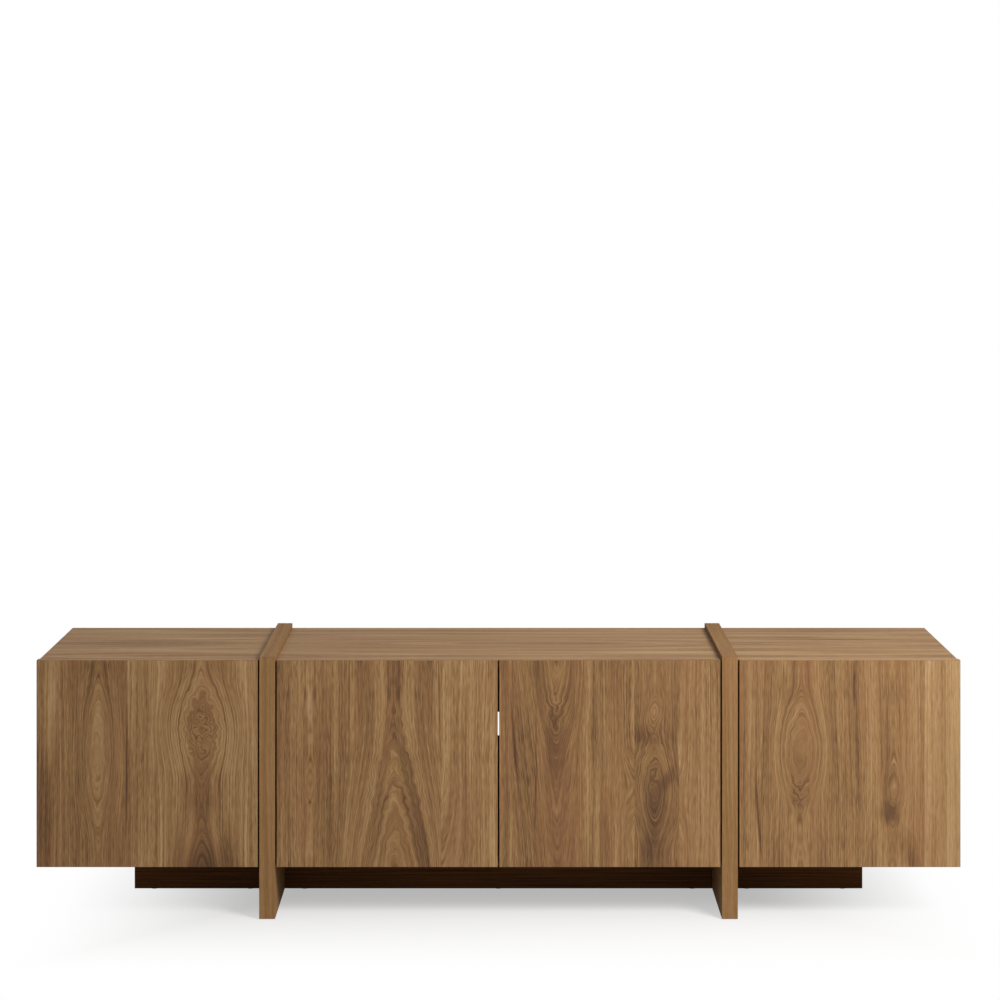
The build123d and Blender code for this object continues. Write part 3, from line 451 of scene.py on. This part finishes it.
# %% Veneer of the centre-right door
door_veneers["door_centre_right"] = walnut(
    "walnut_veneer_door_centre_right", UPRIGHT_DOOR, seed=2, plain_back=True,
    leaves=[
        (0, -60, -0.04, 0), (30, 115, -0.07, -0.1), (149, 60, -0.02, 0), (265, 306, -0.07, 0),
        (352, 600, 0.03, 0),
    ],
    eyes=[((115, 500), 85, 215, 38), ((298, 398), 30, 60, 10, -32), ((306, 250), 84, 135, 34, 8)],
    curls=[((110, 400), 40, 90, 24), ((296, 300), 46, 150, 18)],
    outlines=[((115, 420), 44, 110, 0, 2.4, 0.2, 12), ((306, 262), 66, 170, 0, 2.4, 0.17, 11)],
    calms=[((115, 440), 45, 120, 0.4), ((306, 260), 46, 130, 0.5)],
    stains=[
        ((30, 355), 4, 150, 0.34, 4), ((276, 360), 30, 34, 0.1, 24), ((302, 350), 26, 44, 0.12),
        ((330, 272), 20, 44, 0.16, -30), ((308, 215), 46, 100, 0.14), ((300, 130), 40, 76, 0.2),
        ((112, 325), 34, 120, 0.16), ((72, 280), 3, 220, 0.24), ((116, 486), 15, 42, -0.16),
        ((224, 300), 16, 240, -0.08), ((352, 330), 4, 60, -0.2),
    ],
)
print("made", door_veneers["door_centre_right"].name)

# %% [markdown]
# The right door has a pointed oval eye in its wide second leaf and a small knot low in the third. Its
# last leaf is the palest: partly its own tone, partly painted light for the light that grows towards the
# right end.

# %% Veneer of the right door
door_veneers["door_right"] = walnut(
    "walnut_veneer_door_right", UPRIGHT_DOOR, seed=3, plain_back=True,
    # the last leaf's shade of 0.16 is partly painted light, for the brighter light at the door's right end
    leaves=[(469, 400, 0.01, 0), (508, 588, -0.02, 0.02), (692, 768, 0.01, 0), (830, 980, 0.16, 0)],
    eyes=[((588, 336), 84, 135, 38), ((770, 250), 40, 90, 11)],
    curls=[((586, 250), 34, 64, 18), ((588, 350), 76, 150, 11), ((772, 235), 30, 50, 14)],
    outlines=[
        ((588, 336), 66, 130, 10, 2.4, 0.3), ((588, 350), 60, 125, 3, 2.6, -0.16),
        ((588, 350), 56, 120, -6, 2.4, 0.18), ((588, 345), 50, 110, -14, 2.6, -0.14),
        ((588, 240), 34, 60, 0, 2.4, 0.13, 10), ((772, 240), 26, 50, 0, 2, 0.1, 8),
    ],
    calms=[((588, 336), 36, 100, 0.6), ((770, 240), 30, 70, 0.5), ((900, 260), 90, 420, 0.3)],
    stains=[
        ((508, 210), 4, 130, 0.34, 4), ((693, 455), 4, 66, 0.36), ((762, 207), 40, 38, 0.2),
        ((752, 300), 18, 200, 0.14), ((800, 130), 26, 90, 0.14, 20), ((586, 232), 28, 50, 0.12),
        ((588, 340), 17, 55, -0.14), ((768, 262), 13, 30, -0.09, -25), ((556, 450), 14, 60, 0.14),
    ],
    contrast=0.86,
)
print("made", door_veneers["door_right"].name)

# %% [markdown]
# ## The other boards
# The slabs, sides, tops and bottoms are covered with the same walnut. The slabs are quarter cut: their crown
# lies far outside the board, so they show straight lines only, with low contrast and hardly any gloss. The
# tops run lengthways, with long shallow eyes and a few dark streaks, stronger bands and weaker fibres. The
# outer sides have one calm crown each. The bottoms and shelves are plain.

# %% Veneer of the slabs, tops, sides and bottoms
SLAB_GLOSS = 0.03
walnut_slab = walnut(
    "walnut_veneer_slab", UPRIGHT_SIDE, [(-900, 340, 0.03, 0)], seed=5, contrast=0.45, gloss=SLAB_GLOSS)
# The tops' leaf shades sit a little above most of the doors': partly a paler tone of their own, partly
# painted light for the light that falls on them from above.
walnut_top = walnut(
    "walnut_veneer_top", LENGTHWAYS, [(-220, -150, 0.12, 0), (-70, 10, 0.1, 0), (90, 320, 0.12, 0)],
    eyes=[((-150, -650), 80, 520, 50), ((10, 80), 90, 600, 50), ((0, 860), 80, 500, 40)],
    stains=[
        ((-140, -600), 14, 330, 0.2), ((120, -480), 20, 260, 0.16), ((60, 640), 12, 280, 0.2),
        ((88, 612), 9, 80, 0.34), ((60, -540), 9, 110, 0.2), ((-60, -560), 9, 170, 0.2),
    ],
    seed=6, contrast=1.15, fine=0.6,
)
walnut_side = walnut(
    "walnut_veneer_side", UPRIGHT_SIDE, [(-230, 0, 0, 0.1), (90, 260, 0.02, 0)],
    eyes=[((0, 80), 100, 380, 60)], seed=7, contrast=0.8,
)
walnut_bottom = walnut("walnut_veneer_bottom", LENGTHWAYS, [(-230, 60, 0, 0.02)], seed=8, contrast=0.7)
print("other walnut veneers:", [m.name for m in (walnut_slab, walnut_top, walnut_side, walnut_bottom)])

# %% [markdown]
# ## The dark plinth
# The plinth is fibreboard with a dark brown foil. Deep in the shade under the cupboards it looks nearly
# black, so it drops out of sight and the stand seems to float. One flat brown would do from the front, but
# not from behind, so a faint grain is printed and pressed into the foil, drawn as coarse as the veneer's
# fibres so that it shows, and the sheen is low.

# %% Dark brown foil on fibreboard
FOIL_BROWNS = [(NOISE_LOW, "#4a2d16"), (NOISE_HIGH, "#754a25")]
FOIL_ROUGH, FOIL_GLOSS = 0.6, 0.08
FOIL_DEPTH, FOIL_BUMP = 0.1 * MM, 0.4


def dark_foil(name):
    """Make the plinth's foil: a very dark brown with a faint lengthways grain."""
    material, tree, shader = new_material(name)
    across, along = grain_coordinates(tree, LENGTHWAYS)
    plane = add(tree, "CombineXYZ", X=across, Y=along).outputs[0]
    grain = streaks(tree, plane, FIBRE_WIDTH, FIBRE_LENGTH, 2)
    colour = add(tree, "ValToRGB", stops=FOIL_BROWNS, Fac=grain)
    tree.links.new(colour.outputs["Color"], shader.inputs["Base Color"])
    bump = add(tree, "Bump", Strength=FOIL_BUMP, Distance=FOIL_DEPTH, Height=grain)
    tree.links.new(bump.outputs[0], shader.inputs["Normal"])
    shader.inputs["Roughness"].default_value = FOIL_ROUGH
    shader.inputs["Specular IOR Level"].default_value = FOIL_GLOSS
    return material


foil = dark_foil("dark_brown_foil_on_fibreboard")
print("plinth foil:", foil.name)

# %% [markdown]
# ## Boards and fittings behind the doors
# These show when a door is open, or from behind. Hardboard is pressed wood fibre, smooth on one side and
# flecked. Beech dowels have short dark flecks. Zinc castings are dull and faintly pitted from the mould,
# nickel plate is warm and smooth, and zinc plate is cool with a brushed look. The latches are acetal and the
# glides polyethylene, both moulded: their gloss is broken by a fine spark-eroded grain.
# Each could have a function of its own, but what sets them apart is a handful of numbers, so one function
# takes these. Flecks and pits are 0.2 to 1 mm on the real parts and are drawn at 2 to 3 mm, because they
# must show. A stretch above 1 draws them out into fibres or brush marks. The IOR stays at Blender's 1.5,
# which is right for wood fibre and for these plastics, and for a metal the colour does that work.

# %% Speckled and plated finishes
FINISHES = {
    "back_board": dict(
        name="hardboard_pressed", low="#6b5038", high="#866a4c", size=3, rough=0.62, depth=0.1),
    "beech": dict(
        name="beech_turned", low="#b98f62", high="#d3ac7c", size=2, rough=0.55, depth=0.1, stretch=5),
    "zinc_casting": dict(
        name="zinc_die_cast", low="#8f9090", high="#b4b5b4", size=2, rough=0.42, depth=0.05, metallic=1),
    "nickel_steel": dict(
        name="steel_nickel_plated", low="#b3afa8", high="#cbc7bf", size=3, rough=0.26, depth=0.02,
        metallic=1),
    "zinc_steel": dict(
        name="steel_zinc_plated", low="#a0a19f", high="#bfc0bd", size=2, rough=0.34, depth=0.03, metallic=1,
        stretch=6),
    "latch_plastic": dict(
        name="acetal_grey_moulded", low="#6b6b6d", high="#767678", size=2, rough=0.45, depth=0.04),
    "plunger_plastic": dict(
        name="acetal_white_moulded", low="#bebebb", high="#cacac7", size=2, rough=0.4, depth=0.03),
    "glide_plastic": dict(
        name="polyethylene_brown_moulded", low="#221b17", high="#2e2620", size=2, rough=0.5, depth=0.05),
}
ROUGH_SPREAD = 0.06


def speckled(name, low, high, size, rough, depth, metallic=0, stretch=1):
    """Make a finish whose colour, roughness and bump all come from one speckle of a real size in mm."""
    material, tree, shader = new_material(name)
    source = add(tree, "TexCoord")
    place = add(
        tree, "Mapping", {"vector_type": "TEXTURE"}, Vector=source.outputs["Object"],
        Scale=(size * MM, size * MM, size * stretch * MM),
    )
    speck = add(tree, "TexNoise", Vector=place.outputs[0], Scale=1, Detail=2).outputs[0]
    colour = add(tree, "ValToRGB", stops=[(NOISE_LOW, low), (NOISE_HIGH, high)], Fac=speck)
    tree.links.new(colour.outputs["Color"], shader.inputs["Base Color"])
    worn = add(
        tree, "MapRange", Value=speck, From_Min=NOISE_LOW, From_Max=NOISE_HIGH,
        To_Min=rough - ROUGH_SPREAD, To_Max=rough + ROUGH_SPREAD,
    )
    tree.links.new(worn.outputs[0], shader.inputs["Roughness"])
    bump = add(tree, "Bump", Strength=BUMP_STRENGTH, Distance=depth * MM, Height=speck)
    tree.links.new(bump.outputs[0], shader.inputs["Normal"])
    shader.inputs["Metallic"].default_value = metallic
    return material


finishes = {slot: speckled(**finish) for slot, finish in FINISHES.items()}
print("other finishes:", sorted(m.name for m in finishes.values()))

# %% [markdown]
# ## Put each finish on its boards
# Every packed board carries the name of the finish in the parts list. Doors get their own layouts, upright
# boards the upright veneer, lying ones the lengthways veneer, and the rest goes by that name.

# %% Dress every board and fitting
SLOT_VENEERS = {"slab_veneer": walnut_slab, "top_veneer": walnut_top, "dark_plinth": foil}
dressed = {}
for node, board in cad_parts.items():
    slot_name = board.data.materials[0].name
    if node in door_veneers:
        material = door_veneers[node]
    elif slot_name == "carcass_veneer":
        material = walnut_side if node.endswith("_side") else walnut_bottom
    else:
        material = SLOT_VENEERS.get(slot_name) or finishes[slot_name]
    board.material_slots[0].material = material
    dressed[material.name] = dressed.get(material.name, 0) + 1
for name, count in sorted(dressed.items()):
    print(name, count)

# %% [markdown]
# ## Floor
# The floor is one large smooth board, far wider than the picture, so that its edge never shows.

# %% A wide flat floor
FLOOR_HALF = 40

floor_mesh = bpy.data.meshes.new("floor")
corners = [(x * FLOOR_HALF, y * FLOOR_HALF, 0) for x, y in ((-1, -1), (1, -1), (1, 1), (-1, 1))]
floor_mesh.from_pydata(corners, [], [(0, 1, 2, 3)])
floor = bpy.data.objects.new("floor", floor_mesh)
bpy.context.scene.collection.objects.link(floor)
print("floor:", 2 * FLOOR_HALF, "m wide")

# %% [markdown]
# The floor is painted matt white. Pure white paint would throw much light up at the wood and would lose its
# shadows where it clips. So the paint is a light grey, and a glow that makes up a fifth of it lifts it to
# white where nothing shades it, which leaves the shadows soft and grey. Out from the middle of the stand,
# from 0.42 m to the side and from its middle line forward and back, the floor fades into plain white, like
# the studio around it: this is painted light, which lightens the stand's own shadow under its ends and in
# front of it. Glow and fade are seen by rays of the camera, of gloss and of glass only, so no more light
# falls on the wood.

# %% Paint that keeps its shadow
FLOOR_PAINT = "#b4b3b2"
FLOOR_ROUGH, FLOOR_GLOSS = 0.9, 0.2
GLOW, GLOW_SHARE = 2.2, 0.205
FADE_ACROSS, FADE_DEEP, FADE_CENTRE = (0.42, 0.95), (0, 0.6), 0.03  # in metres


def seen_directly(tree):
    """Return 1 for a ray of the camera, of a glossy surface or of glass, and 0 for light that spreads."""
    rays = add(tree, "LightPath").outputs
    both = add(tree, "Math", {"operation": "MAXIMUM"}, i0=rays["Is Camera Ray"], i1=rays["Is Glossy Ray"])
    return add(
        tree, "Math", {"operation": "MAXIMUM"}, i0=both.outputs[0], i1=rays["Is Transmission Ray"]
    ).outputs[0]


paint, tree, shader = new_material("matt_white_floor_paint")
shader.inputs["Base Color"].default_value = linear(FLOOR_PAINT)
shader.inputs["Roughness"].default_value = FLOOR_ROUGH
shader.inputs["Specular IOR Level"].default_value = FLOOR_GLOSS
source = add(tree, "TexCoord")
centre = (FADE_CENTRE, 0, 0)
away = add(tree, "VectorMath", {"operation": "SUBTRACT"}, i0=source.outputs["Object"], i1=centre).outputs[0]
away = add(tree, "VectorMath", {"operation": "ABSOLUTE"}, i0=away).outputs[0]
away = add(tree, "SeparateXYZ", Vector=away).outputs
# painted light: from here out the floor turns white, even where the stand's shadow falls on it
painted_light_fades = [
    add(
        tree, "MapRange", {"interpolation_type": "SMOOTHSTEP"}, Value=away[axis], From_Min=near, From_Max=far
    ).outputs[0]
    for axis, (near, far) in (("X", FADE_ACROSS), ("Y", FADE_DEEP))
]
painted_light_fade = add(tree, "Math", {"operation": "MAXIMUM"}, i0=painted_light_fades[0], i1=painted_light_fades[1]).outputs[0]
direct = seen_directly(tree)
white = add(tree, "Emission", Color=linear(WHITE), Strength=1)
glow = add(tree, "Emission", Color=linear(WHITE), Strength=GLOW)
glow_share = add(tree, "Math", {"operation": "MULTIPLY"}, i0=direct, i1=GLOW_SHARE).outputs[0]
painted = add(tree, "MixShader", Fac=glow_share, i1=shader.outputs[0], i2=glow.outputs[0])
painted_light_share = add(tree, "Math", {"operation": "MULTIPLY"}, i0=painted_light_fade, i1=direct).outputs[0]
blend = add(tree, "MixShader", Fac=painted_light_share, i1=painted.outputs[0], i2=white.outputs[0])
tree.links.new(blend.outputs[0], tree.nodes["Material Output"].inputs["Surface"])
floor_mesh.materials.append(paint)
print("the floor is plain white from", FADE_ACROSS[1], "m to the side and", FADE_DEEP[1], "m in front")

# %% [markdown]
# ## White studio
# The world is a plain white studio. It gives soft light from all sides, at about a third of full white.
# At full strength it would wash the shadows out, so only the camera, gloss and glass see it as full white.

# %% A white studio
STUDIO_LIGHT = 0.36

world = bpy.data.worlds.new("white_studio")
bpy.context.scene.world = world
world.use_nodes = True
studio = world.node_tree
strength = add(studio, "Mix", i0=seen_directly(studio), i2=STUDIO_LIGHT, i3=1.0).outputs[0]
studio.nodes["Background"].inputs["Color"].default_value = linear(WHITE)
studio.links.new(strength, studio.nodes["Background"].inputs["Strength"])
print("light of the studio", STUDIO_LIGHT)

# %% [markdown]
# ## Soft box
# One large soft box stands in front of the stand, high and to the right, so the right door is brightest and
# the light fades gently to the left. A point lamp or a sun would draw hard shadows: the size of the box is
# what makes them soft. Its level is set so that a colour on the doors comes out about as it is written.

# %% A large soft box
KEY_PLACE, KEY_AIM = Vector((1.9, -2.3, 2.45)), Vector((0, 0, 0.3))
KEY_SIDE, KEY_POWER = 1.3, 150

key_data = bpy.data.lights.new("soft_box", "AREA")
key_data.shape = "SQUARE"
key_data.size = KEY_SIDE
key_data.energy = KEY_POWER
key = bpy.data.objects.new("soft_box", key_data)
key.location = KEY_PLACE
key.rotation_mode = "QUATERNION"
key.rotation_quaternion = (KEY_AIM - KEY_PLACE).to_track_quat("-Z", "Y")
bpy.context.scene.collection.objects.link(key)
print("soft box", round((KEY_AIM - KEY_PLACE).length, 2), "m away,", KEY_POWER, "W")

# %% [markdown]
# ## Camera
# The camera stands level, straight in front, 1.35 m above the floor and more than 5 m away, as in a
# catalogue picture. Level keeps the upright edges upright, and a lens shift then lowers the frame. The lens
# was worked out from three lengths: the width of the door fronts, the width of the back edge of the tops,
# and how far that edge stands above the front.

# %% Camera
CAMERA_PLACE = (0, -5.3475, 1.351)
LENS, SENSOR = 94.81, 36  # in mm
SHIFT_RIGHT, SHIFT_UP = 0.0015, -0.274  # in frame widths

camera_data = bpy.data.cameras.new("camera")
camera_data.lens = LENS
camera_data.sensor_width = SENSOR
camera_data.shift_x = SHIFT_RIGHT
camera_data.shift_y = SHIFT_UP
camera = bpy.data.objects.new("camera", camera_data)
camera.location = CAMERA_PLACE
camera.rotation_euler = (math.pi / 2, 0, 0)
bpy.context.scene.collection.objects.link(camera)
bpy.context.scene.camera = camera
bpy.context.scene.view_settings.view_transform = "Standard"
print("camera angle of view:", round(math.degrees(2 * math.atan(SENSOR / 2 / LENS)), 1), "degrees")
